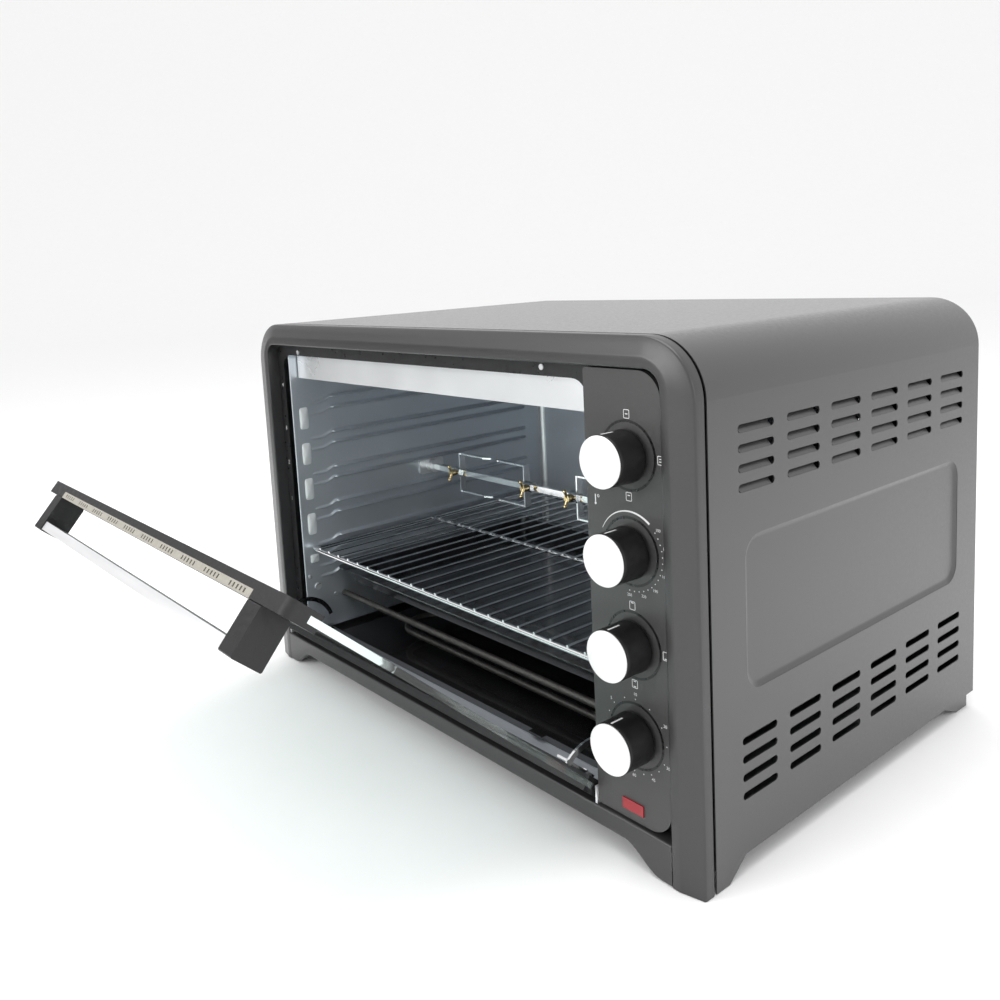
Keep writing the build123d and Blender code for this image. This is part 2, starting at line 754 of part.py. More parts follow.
for index, place in enumerate(fork_places):
    toward = 1 if index % 2 == 0 else -1
    # a U of flat strip: an upright bar with a square hole, and two prongs with arrow tips
    with BuildPart() as fork:
        with BuildSketch(across.offset(place - fork_sheet / 2)):
            with Locations((spit_y, spit_up)):
                Rectangle(fork_width + 2, 2 * fork_spread)
                Circle(fork_hub / 2 + 1)
        extrude(amount=fork_sheet)
        with BuildSketch(across.offset(place)):
            with Locations((spit_y, spit_up)):
                Circle(fork_hub / 2)
        extrude(amount=-toward * fork_hub)
        for way in (-1, 1):
            outer = spit_up + way * fork_spread
            with BuildSketch(Plane.XY.offset(outer)):
                with BuildLine():
                    Polyline(
                        (place, spit_y - fork_width / 2),
                        (place + toward * (fork_reach - arrow_length), spit_y - fork_width / 2),
                        (place + toward * (fork_reach - arrow_length), spit_y - arrow_width / 2),
                        (place + toward * fork_reach, spit_y),
                        (place + toward * (fork_reach - arrow_length), spit_y + arrow_width / 2),
                        (place + toward * (fork_reach - arrow_length), spit_y + fork_width / 2),
                        (place, spit_y + fork_width / 2),
                        close=True,
                    )
                make_face()
            extrude(amount=-way * fork_sheet)
        with BuildSketch(across.offset(place - fork_hub - 5)):
            with Locations((spit_y, spit_up)):
                Rectangle(spit_square + 2 * fork_fit, spit_square + 2 * fork_fit)
        extrude(amount=2 * fork_hub + 10, mode=Mode.SUBTRACT)
        screw_x = place - toward * (fork_hub + fork_sheet) / 2
        rod((screw_x, spit_y - 1, spit_up), (screw_x, spit_y - fork_hub, spit_up), screw_radius, Mode.SUBTRACT)
    fork.part.label = f"spit_fork_{index + 1}"
    export_step(fork.part, f"parts/spit_fork_{index + 1}.step")
    tip = spit_square / 2 + fork_fit + 0.05
    # the thumb screw points to the front: shank, collar and two wings
    with BuildPart() as screw:
        rod((screw_x, spit_y - tip, spit_up), (screw_x, spit_y - 11, spit_up), screw_radius)
        rod((screw_x, spit_y - fork_hub / 2 - 0.5, spit_up), (screw_x, spit_y - 13, spit_up), 4.0)
        for way in (-1, 1):
            rod((screw_x, spit_y - 11, spit_up), (screw_x, spit_y - 15, spit_up + way * 8), 1.6)
            with Locations((screw_x, spit_y - 15, spit_up + way * 8)):
                Sphere(2.2)
    screw.part.label = f"fork_screw_{index + 1}"
    export_step(screw.part, f"parts/fork_screw_{index + 1}.step")

# =====================================================================================
# Control panel, knobs and switches
# =====================================================================================

panel_front = front + panel_set_back
panel_right = recess_half - panel_gap
panel_low = recess_bottom + panel_gap
panel_high = recess_top - panel_gap
knob_heights = [knob_first + i * knob_pitch for i in range(knob_count)]


def panel_face(inset):
    """The control panel's outline: square on the door's side, rounded on the frame's side."""
    wide = panel_right - panel_left - 2 * inset
    with BuildSketch() as face:
        with Locations(((panel_left + panel_right) / 2, (panel_low + panel_high) / 2)):
            Rectangle(wide, panel_high - panel_low - 2 * inset)
        fillet(face.vertices().group_by(Axis.X)[-1], panel_corner - inset)
        fillet(face.vertices().group_by(Axis.X)[0], 3)
    return face.sketch


with BuildPart() as control_panel:
    with BuildSketch(upright(frame_back)):
        add(panel_face(0))
    extrude(amount=frame_back - panel_front)
    with BuildSketch(upright(frame_back)):
        add(panel_face(sheet))
    extrude(amount=frame_back - panel_front - panel_sheet, mode=Mode.SUBTRACT)
    for z in knob_heights:
        rod((control_x, frame_back, z), (control_x, panel_front - 1, z), stem_radius + 1.5, Mode.SUBTRACT)
    box_between(
        lens_x - lens_width / 2, lens_x + lens_width / 2, panel_front - 1, frame_back,
        lens_z - lens_height / 2, lens_z + lens_height / 2, Mode.SUBTRACT,
    )
control_panel.part.label = "control_panel"
export_step(control_panel.part, "parts/control_panel.step")

lens_back = panel_front + panel_sheet
with BuildPart() as indicator_lens:
    box_between(
        lens_x - lens_width / 2, lens_x + lens_width / 2, panel_front - 1.2, lens_back + 1.5,
        lens_z - lens_height / 2, lens_z + lens_height / 2,
    )
    box_between(
        lens_x - lens_width / 2 - 2, lens_x + lens_width / 2 + 2, lens_back, lens_back + 1.5,
        lens_z - lens_height / 2 - 2, lens_z + lens_height / 2 + 2,
    )
indicator_lens.part.label = "indicator_lens"
export_step(indicator_lens.part, "parts/indicator_lens.step")

knob_front = front - knob_reach
knob_back = panel_front - knob_clear
stem_end = lens_back + 14
switch_names = ("timer_switch", "lower_heat_switch", "thermostat", "upper_heat_switch")
knob_names = ("timer_knob", "lower_heat_knob", "thermostat_knob", "upper_heat_knob")
for z, knob_name, switch_name in zip(knob_heights, knob_names, switch_names):
    with BuildPart() as knob:
        rod((control_x, knob_back, z), (control_x, knob_front + cap_thickness, z), knob_radius - 0.6)
        rod((control_x, knob_back, z), (control_x, knob_back - 3, z), knob_radius)
        rod((control_x, knob_back + 1, z), (control_x, knob_front + cap_thickness + 3, z), knob_radius - 3,
            Mode.SUBTRACT)
        rod((control_x, stem_end, z), (control_x, knob_front + cap_thickness + 2, z), stem_radius)
        rod((control_x, knob_back, z), (control_x, knob_front + cap_thickness + 2, z), stem_radius + 2.5)
        box_between(
            control_x - 0.7, control_x + 0.7, knob_front + cap_thickness, knob_back,
            z + knob_radius - 1.5, z + knob_radius,
        )
    knob.part.label = knob_name
    export_step(knob.part, f"parts/{knob_name}.step")
    with BuildPart() as cap:
        rod((control_x, knob_front, z), (control_x, knob_front + cap_thickness, z), knob_radius - 0.6)
        fillet(cap.edges().group_by(Axis.Y)[0], 0.6)
    cap.part.label = f"{knob_name}_cap"
    export_step(cap.part, f"parts/{knob_name}_cap.step")
    with BuildPart() as switch:
        box_between(
            control_x - switch_width / 2, control_x + switch_width / 2, lens_back, lens_back + switch_depth,
            z - switch_height / 2, z + switch_height / 2,
        )
        fillet(switch.edges().filter_by(Axis.Y), 3)
        rod((control_x, lens_back - 1, z), (control_x, stem_end + 0.5, z), stem_radius + running_gap, Mode.SUBTRACT)
        for dx in (-8, 0, 8):
            box_between(
                control_x + dx - 2, control_x + dx + 2, lens_back + switch_depth - 1, lens_back + switch_depth + 8,
                z - 0.4, z + 0.4,
            )
    switch.part.label = switch_name
    export_step(switch.part, f"parts/{switch_name}.step")

# =====================================================================================
# Door, drawn in its own plane: x across, s up from the hinge, t outwards
# =====================================================================================

door_plane = Plane(
    origin=(0, hinge_y, hinge_up), x_dir=(1, 0, 0), z_dir=(0, -math.cos(tilt), -math.sin(tilt)),
)
post_spots = [door_left + handle_inset, door_right - handle_inset - post_width]
glass_half = glass_thickness / 2
rail_low = door_top - top_rail
bar_left = post_spots[0] + post_width
bar_right = post_spots[1]

with BuildPart(door_plane) as door_glass:
    box_between(
        door_left + 1, door_right - 1, bottom_rail - rail_grip, rail_low + rail_grip, -glass_half, glass_half,
    )
door_glass.part.label = "door_glass"
export_step(door_glass.part, "parts/door_glass.step")

with BuildPart(door_plane) as door_top_rail:
    box_between(door_left, door_right, rail_low, door_top, -door_half, door_half)
    ends = door_top_rail.edges().filter_by(Axis((0, 0, 0), door_plane.z_dir))
    fillet(ends.sort_by(Axis.Z)[-2:], door_corner)
    box_between(
        door_left - 1, door_right + 1, rail_low - 1, rail_low + rail_grip, -glass_half, glass_half, Mode.SUBTRACT,
    )
    box_between(bar_left, bar_right, door_top - vent_height, door_top + 1, 0, door_half + 1, Mode.SUBTRACT)
door_top_rail.part.label = "door_top_rail"
export_step(door_top_rail.part, "parts/door_top_rail.step")

vent_groups = 10
vent_slots = 5
vent_step = (bar_right - bar_left) / vent_groups
with BuildPart(door_plane) as door_vent_strip:
    box_between(bar_left, bar_right, door_top - vent_height, door_top, 0, door_half)
    for group in range(vent_groups):
        for slot in range(vent_slots):
            x = bar_left + (group + 0.5) * vent_step + (slot - (vent_slots - 1) / 2) * vent_step * 0.13
            box_between(x - 1, x + 1, door_top - 2.5, door_top + 1, 1.4, door_half - 1.4, Mode.SUBTRACT)
door_vent_strip.part.label = "door_vent_strip"
export_step(door_vent_strip.part, "parts/door_vent_strip.step")

pin_spots = ((door_left, -1), (door_right, 1))
with BuildPart() as door_bottom_rail:
    with BuildSketch(Plane.YZ.offset(door_left)):
        Circle(door_half)
        with Locations((0, bottom_rail / 2)):
            Rectangle(2 * door_half, bottom_rail)
        with Locations((0, bottom_rail)):
            Rectangle(glass_thickness, 2 * rail_grip, mode=Mode.SUBTRACT)
    extrude(amount=door_right - door_left)
    for x, side in pin_spots:
        rod((x - side * pin_grip, 0, 0), (x + side, 0, 0), pin_radius, Mode.SUBTRACT)
with BuildPart() as bottom_rail_placed:
    with Locations(Location((0, hinge_y, hinge_up), (door_angle, 0, 0))):
        add(door_bottom_rail.part)
bottom_rail_placed.part.label = "door_bottom_rail"
export_step(bottom_rail_placed.part, "parts/door_bottom_rail.step")

left_wall_x = -recess_half
right_wall_x = panel_left
with BuildPart() as hinge_pins:
    rod((door_left + pin_grip, hinge_y, hinge_up), (left_wall_x + 0.5, hinge_y, hinge_up), pin_radius)
    rod((door_right - pin_grip, hinge_y, hinge_up), (right_wall_x - 0.5, hinge_y, hinge_up), pin_radius)
hinge_pins.part.label = "hinge_pins"
export_step(hinge_pins.part, "parts/hinge_pins.step")

with BuildPart() as hinge_brackets:
    for x in (left_wall_x, right_wall_x - bracket_sheet):
        box_between(x, x + bracket_sheet, hinge_y - 5, frame_back, recess_bottom, hinge_up + 6)
    for x in (left_wall_x, right_wall_x - bracket_sheet):
        rod((x - 1, hinge_y, hinge_up), (x + bracket_sheet + 1, hinge_y, hinge_up),
            pin_radius + running_gap, Mode.SUBTRACT)
hinge_brackets.part.label = "hinge_brackets"
export_step(hinge_brackets.part, "parts/hinge_brackets.step")

arm_start = math.degrees(math.asin(door_half / arm_radius)) - 2
with BuildPart() as arm_pair:
    for edge, side in ((cavity_left + arm_inset, 1), (cavity_right - arm_inset, -1)):
        near = edge if side > 0 else edge - arm_thickness
        with BuildSketch(Plane.YZ.offset(near)):
            Circle(arm_radius + arm_width / 2)
            Circle(arm_radius - arm_width / 2, mode=Mode.SUBTRACT)
            with BuildLine():
                Polyline(
                    (0, 0),
                    (200 * math.sin(math.radians(arm_start)), 200 * math.cos(math.radians(arm_start))),
                    (200 * math.sin(math.radians(60)), 200 * math.cos(math.radians(60))),
                    (200 * math.sin(math.radians(arm_sweep)), 200 * math.cos(math.radians(arm_sweep))),
                    close=True,
                )
            make_face(mode=Mode.INTERSECT)
        extrude(amount=arm_thickness)
        low = min(edge, edge + side * 11)
        box_between(low, low + 11, door_half, door_half + 2, 3, arm_foot + 6)
        spot = edge + side * 5.5
        rod((spot, door_half + 1, 9), (spot, door_half + 3, 9), 2.2)
with BuildPart() as door_arms:
    with Locations(Location((0, hinge_y, hinge_up), (door_angle, 0, 0))):
        add(arm_pair.part)
door_arms.part.label = "door_arms"
export_step(door_arms.part, "parts/door_arms.step")

with BuildPart(door_plane) as handle_posts:
    for x in post_spots:
        box_between(x, x + post_width, door_top - handle_height, door_top, door_half, handle_reach)
    fillet(handle_posts.edges().filter_by(Axis.X), edge_round)
handle_posts.part.label = "handle_posts"
export_step(handle_posts.part, "parts/handle_posts.step")

bar_low = door_top - handle_height + 2
bar_high = door_top - 1.5
bar_front = handle_reach - 1.5
with BuildPart(door_plane) as handle_bar:
    box_between(
        bar_left, bar_right, bar_low, bar_high - trim_thickness,
        bar_front - bar_thickness, bar_front - trim_thickness,
    )
handle_bar.part.label = "handle_bar"
export_step(handle_bar.part, "parts/handle_bar.step")

with BuildPart(door_plane) as handle_trim:
    box_between(bar_left, bar_right, bar_low, bar_high, bar_front - bar_thickness, bar_front)
    box_between(
        bar_left - 1, bar_right + 1, bar_low - 1, bar_high - trim_thickness,
        bar_front - bar_thickness - 1, bar_front - trim_thickness, Mode.SUBTRACT,
    )
handle_trim.part.label = "handle_trim"
export_step(handle_trim.part, "parts/handle_trim.step")
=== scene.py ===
# %% [markdown]
# A countertop rotisserie oven, seen from its control side with the glass door half open.
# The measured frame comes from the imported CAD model. It fixes every position, so this script
# only adds finishes and the softer, rounder surfaces that sheet metal and plastic really have.

# %% Load the measured frame
import bmesh
import bpy
import math
import numpy as np
from mathutils import Matrix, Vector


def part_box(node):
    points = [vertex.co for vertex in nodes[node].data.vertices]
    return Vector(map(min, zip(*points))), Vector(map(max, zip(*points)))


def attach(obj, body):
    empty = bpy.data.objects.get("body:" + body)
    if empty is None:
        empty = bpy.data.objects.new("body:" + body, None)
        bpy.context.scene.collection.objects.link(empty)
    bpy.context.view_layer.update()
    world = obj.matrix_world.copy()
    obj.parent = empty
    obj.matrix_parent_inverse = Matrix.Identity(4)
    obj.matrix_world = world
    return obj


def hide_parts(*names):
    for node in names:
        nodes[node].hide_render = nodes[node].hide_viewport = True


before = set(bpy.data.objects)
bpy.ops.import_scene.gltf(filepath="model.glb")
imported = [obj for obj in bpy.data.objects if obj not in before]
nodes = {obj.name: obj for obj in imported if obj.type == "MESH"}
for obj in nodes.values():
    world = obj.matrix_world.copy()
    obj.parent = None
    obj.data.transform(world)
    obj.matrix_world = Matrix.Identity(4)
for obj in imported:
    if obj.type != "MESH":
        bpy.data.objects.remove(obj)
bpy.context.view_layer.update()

# %% [markdown]
# The camera stands low and close, to the right of the oven, so the top is seen almost edge on.
# A matrix places it, because its right, up and back directions are then written down plainly.
# The small shift keeps the picture's centre where the lens looked, and adds no tilt.

# %% The camera
lens = bpy.data.cameras.new("studio_camera")
lens.sensor_width = 36.0
lens.lens = 33.744
lens.shift_x = 0.02822
lens.shift_y = -0.10946
lens.clip_start = 0.02
lens.dof.use_dof = False
camera = bpy.data.objects.new("studio_camera", lens)
bpy.context.scene.collection.objects.link(camera)
camera.matrix_world = Matrix((
    (0.62863, -0.06815, 0.77471, 0.68956),
    (0.77587, 0.12335, -0.61872, -0.56371),
    (-0.05339, 0.99002, 0.13042, 0.44792),
    (0.0, 0.0, 0.0, 1.0),
))
bpy.context.scene.camera = camera
bpy.context.scene.view_settings.view_transform = "Standard"

# %% [markdown]
# A white studio: satin enamel and bright steel are only as good as what they mirror. A pale
# world fills the shadows, and three wide soft lamps give the steel something with edges to show.

# %% World and lamps
world = bpy.data.worlds.new("white_studio")
bpy.context.scene.world = world
world.use_nodes = True
world.node_tree.nodes["Background"].inputs["Color"].default_value = (1.0, 1.0, 1.0, 1.0)
world.node_tree.nodes["Background"].inputs["Strength"].default_value = 1.0


def soft_lamp(name, place, target, wide, high, watts):
    """An area lamp at `place`, facing `target`: its -Z axis is the unit vector between them."""
    data = bpy.data.lights.new(name, "AREA")
    data.shape = "RECTANGLE"
    data.size = wide
    data.size_y = high
    data.energy = watts
    lamp = bpy.data.objects.new(name, data)
    bpy.context.scene.collection.objects.link(lamp)
    back = np.array(place, float) - np.array(target, float)
    back /= np.linalg.norm(back)
    right = np.cross((0.0, 0.0, 1.0), back)
    right /= np.linalg.norm(right)
    up = np.cross(back, right)
    matrix = np.eye(4)
    matrix[:3, 0], matrix[:3, 1], matrix[:3, 2], matrix[:3, 3] = right, up, back, place
    lamp.matrix_world = Matrix(matrix.tolist())
    return lamp


soft_lamp("overhead_lamp", (0.1, -0.1, 2.2), (0.0, 0.0, 0.2), 2.2, 1.6, 34)
soft_lamp("front_lamp", (-0.8, -2.4, 1.1), (-0.1, 0.0, 0.2), 1.6, 1.2, 30)
soft_lamp("side_lamp", (2.4, 0.2, 0.9), (0.2, 0.0, 0.2), 1.2, 1.4, 8)

# %% [markdown]
# Every soft surface here is a grid of points worked out from a formula. Two helpers turn such
# a grid into a mesh, and a third makes the faces of a closed shell point outwards.

# %% Helpers that turn arrays into meshes


def grid_faces(rows, columns, close_rows=False, close_columns=False):
    """Quads of a grid: cell (i, j) joins points i, i+1 and j, j+1, wrapping where asked."""
    i = np.arange(rows if close_rows else rows - 1)
    j = np.arange(columns if close_columns else columns - 1)
    i, j = np.meshgrid(i, j, indexing="ij")
    a = i * columns + j
    b = ((i + 1) % rows) * columns + j
    c = ((i + 1) % rows) * columns + (j + 1) % columns
    d = i * columns + (j + 1) % columns
    return np.stack([a, b, c, d], axis=-1).reshape(-1, 4)


def mesh_piece(name, points, faces, material=None, smooth=True, uv=None):
    """A new object from an (n, 3) array in metres and a list of faces."""
    mesh = bpy.data.meshes.new(name)
    mesh.from_pydata(np.asarray(points, float).tolist(), [], [list(map(int, f)) for f in faces])
    if smooth:
        mesh.polygons.foreach_set("use_smooth", np.ones(len(mesh.polygons), bool))
    if uv is not None:
        layer = mesh.uv_layers.new(name="UVMap")
        corner = np.zeros(len(mesh.loops), np.int32)
        mesh.loops.foreach_get("vertex_index", corner)
        layer.data.foreach_set("uv", np.asarray(uv, float)[corner].ravel())
    mesh.update()
    piece = bpy.data.objects.new(name, mesh)
    bpy.context.scene.collection.objects.link(piece)
    if material:
        mesh.materials.append(material)
    return piece


def outwards(piece):
    """Winds every face of a closed piece so that it points out."""
    shell = bmesh.new()
    shell.from_mesh(piece.data)
    bmesh.ops.recalc_face_normals(shell, faces=shell.faces)
    shell.to_mesh(piece.data)
    shell.free()
    return piece


# %% [markdown]
# Finishes come from one recipe: a Principled shader whose roughness, colour and surface height
# are each disturbed by noise in the object's own coordinates. Stretching the noise along one
# axis turns grain into brush marks. Plain numbers stay on the shader's own sockets.

# %% The finish recipe


def finish(name, colour, rough, metal=0.0, spread=0.06, rough_spread=0.08, scale=60.0,
           stretch=(1, 1, 1), bump=0.02, bump_scale=400.0, coat=0.0, coat_rough=0.1, specular=0.5,
           patches=0.0, patch_scale=9.0):
    """A finish whose tone and gloss follow two noises: a fine grain and a broad patchiness."""
    material = bpy.data.materials.new(name)
    material.use_nodes = True
    tree = material.node_tree
    shader = tree.nodes["Principled BSDF"]
    shader.inputs["Metallic"].default_value = metal
    shader.inputs["Specular IOR Level"].default_value = specular
    shader.inputs["Coat Weight"].default_value = coat
    shader.inputs["Coat Roughness"].default_value = coat_rough
    place = tree.nodes.new("ShaderNodeTexCoord")
    mapping = tree.nodes.new("ShaderNodeMapping")
    mapping.inputs["Scale"].default_value = stretch
    tree.links.new(place.outputs["Object"], mapping.inputs["Vector"])

    def noise(size, detail):
        node = tree.nodes.new("ShaderNodeTexNoise")
        node.inputs["Scale"].default_value = size
        node.inputs["Detail"].default_value = detail
        tree.links.new(mapping.outputs["Vector"], node.inputs["Vector"])
        return node

    grain = noise(scale, 3.0)
    ramp = tree.nodes.new("ShaderNodeValToRGB")
    ramp.color_ramp.elements[0].position = 0.3
    ramp.color_ramp.elements[1].position = 0.7
    for element, factor in zip(ramp.color_ramp.elements, (1 - spread, 1 + spread)):
        element.color = tuple(min(1.0, c * factor) for c in colour) + (1.0,)
    tree.links.new(grain.outputs["Fac"], ramp.inputs["Fac"])
    tone = ramp.outputs["Color"]
    if patches:
        broad = noise(patch_scale, 2.0)
        shade = tree.nodes.new("ShaderNodeValToRGB")
        shade.color_ramp.elements[0].position = 0.35
        shade.color_ramp.elements[1].position = 0.65
        shade.color_ramp.elements[0].color = (1 - patches,) * 3 + (1.0,)
        shade.color_ramp.elements[1].color = (1.0, 1.0, 1.0, 1.0)
        tree.links.new(broad.outputs["Fac"], shade.inputs["Fac"])
        mix = tree.nodes.new("ShaderNodeMix")
        mix.data_type = "RGBA"
        mix.blend_type = "MULTIPLY"
        mix.inputs["Factor"].default_value = 1.0
        tree.links.new(tone, mix.inputs[6])
        tree.links.new(shade.outputs["Color"], mix.inputs[7])
        tone = mix.outputs[2]
    tree.links.new(tone, shader.inputs["Base Color"])
    gloss = tree.nodes.new("ShaderNodeMapRange")
    gloss.inputs["From Min"].default_value = 0.3
    gloss.inputs["From Max"].default_value = 0.7
    gloss.inputs["To Min"].default_value = max(0.02, rough - rough_spread)
    gloss.inputs["To Max"].default_value = min(1.0, rough + rough_spread)
    tree.links.new(grain.outputs["Fac"], gloss.inputs["Value"])
    tree.links.new(gloss.outputs["Result"], shader.inputs["Roughness"])
    if bump:
        fine = noise(bump_scale, 2.0)
        relief = tree.nodes.new("ShaderNodeBump")
        relief.inputs["Strength"].default_value = bump
        relief.inputs["Distance"].default_value = 0.001
        tree.links.new(fine.outputs["Fac"], relief.inputs["Height"])
        tree.links.new(relief.outputs["Normal"], shader.inputs["Normal"])
    return material


dark_enamel = finish("dark_enamel", (0.030, 0.029, 0.030), 0.36, spread=0.05, rough_spread=0.04,
                     scale=300, bump=0.08, bump_scale=1500, coat=0.25, coat_rough=0.25)
cover_enamel = finish("cover_enamel", (0.040, 0.039, 0.040), 0.36, spread=0.05, rough_spread=0.04,
                      scale=300, bump=0.08, bump_scale=1500, coat=0.5, coat_rough=0.2)
black_enamel = finish("black_enamel", (0.012, 0.012, 0.013), 0.35, spread=0.1, scale=200,
                      bump=0.05)
panel_enamel = finish("panel_enamel", (0.050, 0.049, 0.049), 0.36, spread=0.05, scale=400,
                      bump=0.1, bump_scale=1600)
galvanised = finish("galvanised_sheet", (0.66, 0.70, 0.75), 0.36, metal=0.6, spread=0.03,
                    rough_spread=0.03, scale=12, bump=0.0, patches=0.05, patch_scale=4)
# bright steel for the reflector, bearing, brackets and rivets; on the corner coves the same finish is a
# painted highlight
bright_sheet_and_highlight = finish("bright_sheet_and_highlight", (0.94, 0.95, 0.96), 0.30, metal=0.7, spread=0.02,
                      rough_spread=0.03, scale=15, bump=0.0)
heater_sheath = finish("heater_sheath", (0.10, 0.095, 0.09), 0.42, metal=0.7, spread=0.2,
                       scale=120, bump=0.1)
fired_ceramic = finish("fired_ceramic", (0.80, 0.79, 0.74), 0.7, spread=0.04, scale=150, bump=0.1)
tray_enamel = finish("tray_enamel", (0.014, 0.014, 0.015), 0.16, spread=0.2, rough_spread=0.05,
                     scale=30, bump=0.04, bump_scale=120, coat=0.6, coat_rough=0.06)
chrome = finish("chrome_wire", (0.80, 0.81, 0.82), 0.12, metal=1.0, spread=0.03,
                rough_spread=0.04, scale=90, bump=0.0)
motor_can = finish("motor_can", (0.45, 0.45, 0.46), 0.35, metal=1.0, scale=60)
door_dark = finish("door_dark", (0.014, 0.014, 0.015), 0.42, spread=0.08, scale=250, bump=0.06,
                   bump_scale=1200, specular=0.4)
vent_beige = finish("vent_beige", (0.30, 0.285, 0.25), 0.55, spread=0.08, scale=300, bump=0.15,
                    bump_scale=1500)
handle_grey = finish("handle_grey", (0.060, 0.060, 0.062), 0.45, spread=0.06, scale=300,
                     bump=0.08, bump_scale=1500)
post_black = finish("post_black", (0.011, 0.011, 0.012), 0.40, spread=0.08, scale=250, bump=0.08,
                    bump_scale=1200, specular=0.4)
handle_silver = finish("handle_silver", (0.86, 0.86, 0.87), 0.34, metal=0.55, spread=0.02,
                       rough_spread=0.03, scale=20, stretch=(0.5, 12, 12), bump=0.0)
black_plastic = finish("black_plastic", (0.018, 0.018, 0.019), 0.40, spread=0.1, scale=200,
                       bump=0.08)
cap_silver = finish("cap_silver", (0.80, 0.80, 0.80), 0.30, metal=0.85, spread=0.04, scale=150,
                    bump=0.03)
switch_body = finish("switch_body", (0.08, 0.08, 0.09), 0.5, scale=150)
print_white = finish("print_white", (0.75, 0.75, 0.75), 0.45, spread=0.03, scale=200, bump=0.0)

red_lens = finish("red_lens", (0.30, 0.012, 0.020), 0.22, spread=0.08, scale=60, bump=0.03,
                  coat=0.3, coat_rough=0.1)
brass = finish("brass_plate", (0.72, 0.56, 0.30), 0.22, metal=1.0, spread=0.05, scale=90, bump=0.0)
# painted reflection: the wall pads are near-white to stand for the white studio mirrored in the pressed
# pads of the galvanised walls
pad_painted_reflection = finish("pad_painted_reflection", (0.92, 0.94, 0.95), 0.35, metal=0.1, spread=0.02, scale=60,
                   bump=0.0)
# the floor's matt paper
paper = finish("floor_paper", (0.93, 0.93, 0.93), 0.95, spread=0.005, rough_spread=0.02, scale=20,
               bump=0.0)


def glass(name, colour, rough, ior=1.5):
    """Clear glass: full transmission, a faint tint, and roughness that varies very slightly."""
    material = finish(name, colour, rough, spread=0.01, rough_spread=0.01, scale=20, bump=0.0)
    shader = material.node_tree.nodes["Principled BSDF"]
    shader.inputs["Transmission Weight"].default_value = 1.0
    shader.inputs["IOR"].default_value = ior
    return material


door_glass = glass("door_glass", (0.80, 0.93, 0.90), 0.03)

# %% [markdown]
# Pieces that are plain in real life keep the CAD's own shape: wires, rods, trays and brackets
# only need their finish. One table names the finish of every node, so none is forgotten.

# %% Give each carried-over CAD node its finish
dial_names = ("timer", "lower_heat", "thermostat", "upper_heat")
wear = {
    cover_enamel: ["outer_cover", "base_plate", "rear_panel", "rear_feet"],
    dark_enamel: ["front_frame"],
    black_enamel: ["face_plate"],
    panel_enamel: ["control_panel"],
    galvanised: ["liner_left_wall", "liner_right_wall", "liner_top", "liner_back", "liner_floor"],
    bright_sheet_and_highlight: ["reflector_strip", "spit_bearing", "hinge_brackets", "liner_rivets"],
    heater_sheath: ["upper_heater_front", "upper_heater_rear",
                    "lower_heater_front", "lower_heater_rear", "lower_heater_middle"],
    fired_ceramic: ["heater_insulators"],
    tray_enamel: ["crumb_tray", "baking_tray"],
    chrome: ["wire_rack", "spit_shaft", "drive_socket", "hinge_pins", "door_arms", "cover_screws"]
            + [f"spit_fork_{i}" for i in (1, 2, 3, 4)],
    brass: [f"fork_screw_{i}" for i in (1, 2, 3, 4)],
    motor_can: ["rotisserie_motor"],
    red_lens: ["indicator_lens"],
    door_glass: ["door_glass"],
    door_dark: ["door_top_rail", "door_bottom_rail"],
    vent_beige: ["door_vent_strip"],
    handle_grey: ["handle_bar"],
    post_black: ["handle_posts"],
    handle_silver: ["handle_trim"],
    black_plastic: ["cord_gland"] + [f"{k}_knob" for k in dial_names],
    cap_silver: [f"{k}_knob_cap" for k in dial_names],
    switch_body: ["timer_switch", "lower_heat_switch", "thermostat", "upper_heat_switch"],
}
for material, names in wear.items():
    for name in names:
        nodes[name].data.materials.clear()
        nodes[name].data.materials.append(material)
print("finished nodes:", sum(len(n) for n in wear.values()))

# %% [markdown]
# The front frame is one pressed sheet: a side band, a broad chamfer, a narrow flat and a wall
# running back round the opening. Its edges are rolled, and those soft rolls catch the light.
# A bevel modifier would do it, but a profile carried round the arch keeps every roll even.

# %% The frame: a profile carried round an arch
low, high = (np.array(c, float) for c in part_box("front_frame"))
front_y = low[1]
half_wide, tall = high[0], high[2]
millimetre = 0.001


def arch_line(side, top, radius, legs=14, turn=20, span=40):
    """Up the left leg, round a quarter circle, along the top and down again: (n, 2) of x and z.
    The legs stand `side` inside the outer edge and the top lies `top` below it."""
    wide, crown = half_wide - side, tall - top
    leg = np.linspace(0.0, crown - radius, legs)
    angle = np.linspace(np.pi, np.pi / 2, turn)
    left = np.stack([np.full(legs, -wide), leg], -1)
    bend = np.stack([-wide + radius + radius * np.cos(angle),
                     crown - radius + radius * np.sin(angle)], -1)
    bar = np.stack([np.linspace(-wide + radius, 0.0, span), np.full(span, crown)], -1)
    part = np.concatenate([left, bend[1:], bar[1:]])
    return np.concatenate([part, (part * (-1, 1))[::-1][1:]])


rolls = np.array([  # inset at the side, inset at the top, corner radius, distance behind the front
    (0.0, 0.0, 44.0, 14.0), (0.0, 0.0, 44.0, 9.0), (0.0, 0.0, 44.0, 6.2), (0.15, 0.12, 43.9, 5.3),
    (0.7, 0.55, 43.4, 4.6), (1.8, 1.4, 42.2, 4.15), (9.5, 7.2, 34.5, 2.3), (16.0, 12.1, 28.0, 0.72),
    (17.2, 13.0, 26.8, 0.38), (18.2, 13.8, 25.7, 0.13), (19.2, 14.7, 24.4, 0.02), (20.5, 16.2, 22.4, 0.0),
    (24.6, 21.1, 16.1, 0.0), (25.3, 21.8, 15.0, 0.12), (25.8, 22.3, 14.3, 0.5), (26.0, 22.5, 14.0, 1.1),
    (26.0, 22.5, 14.0, 5.0), (26.0, 22.5, 14.0, 13.9),
]) * millimetre
ring = np.stack([arch_line(side, top, radius) for side, top, radius, _ in rolls])
depth = np.repeat(rolls[:, 3][:, None] + front_y, ring.shape[1], axis=1)
points = np.stack([ring[..., 0], depth, ring[..., 1]], -1)
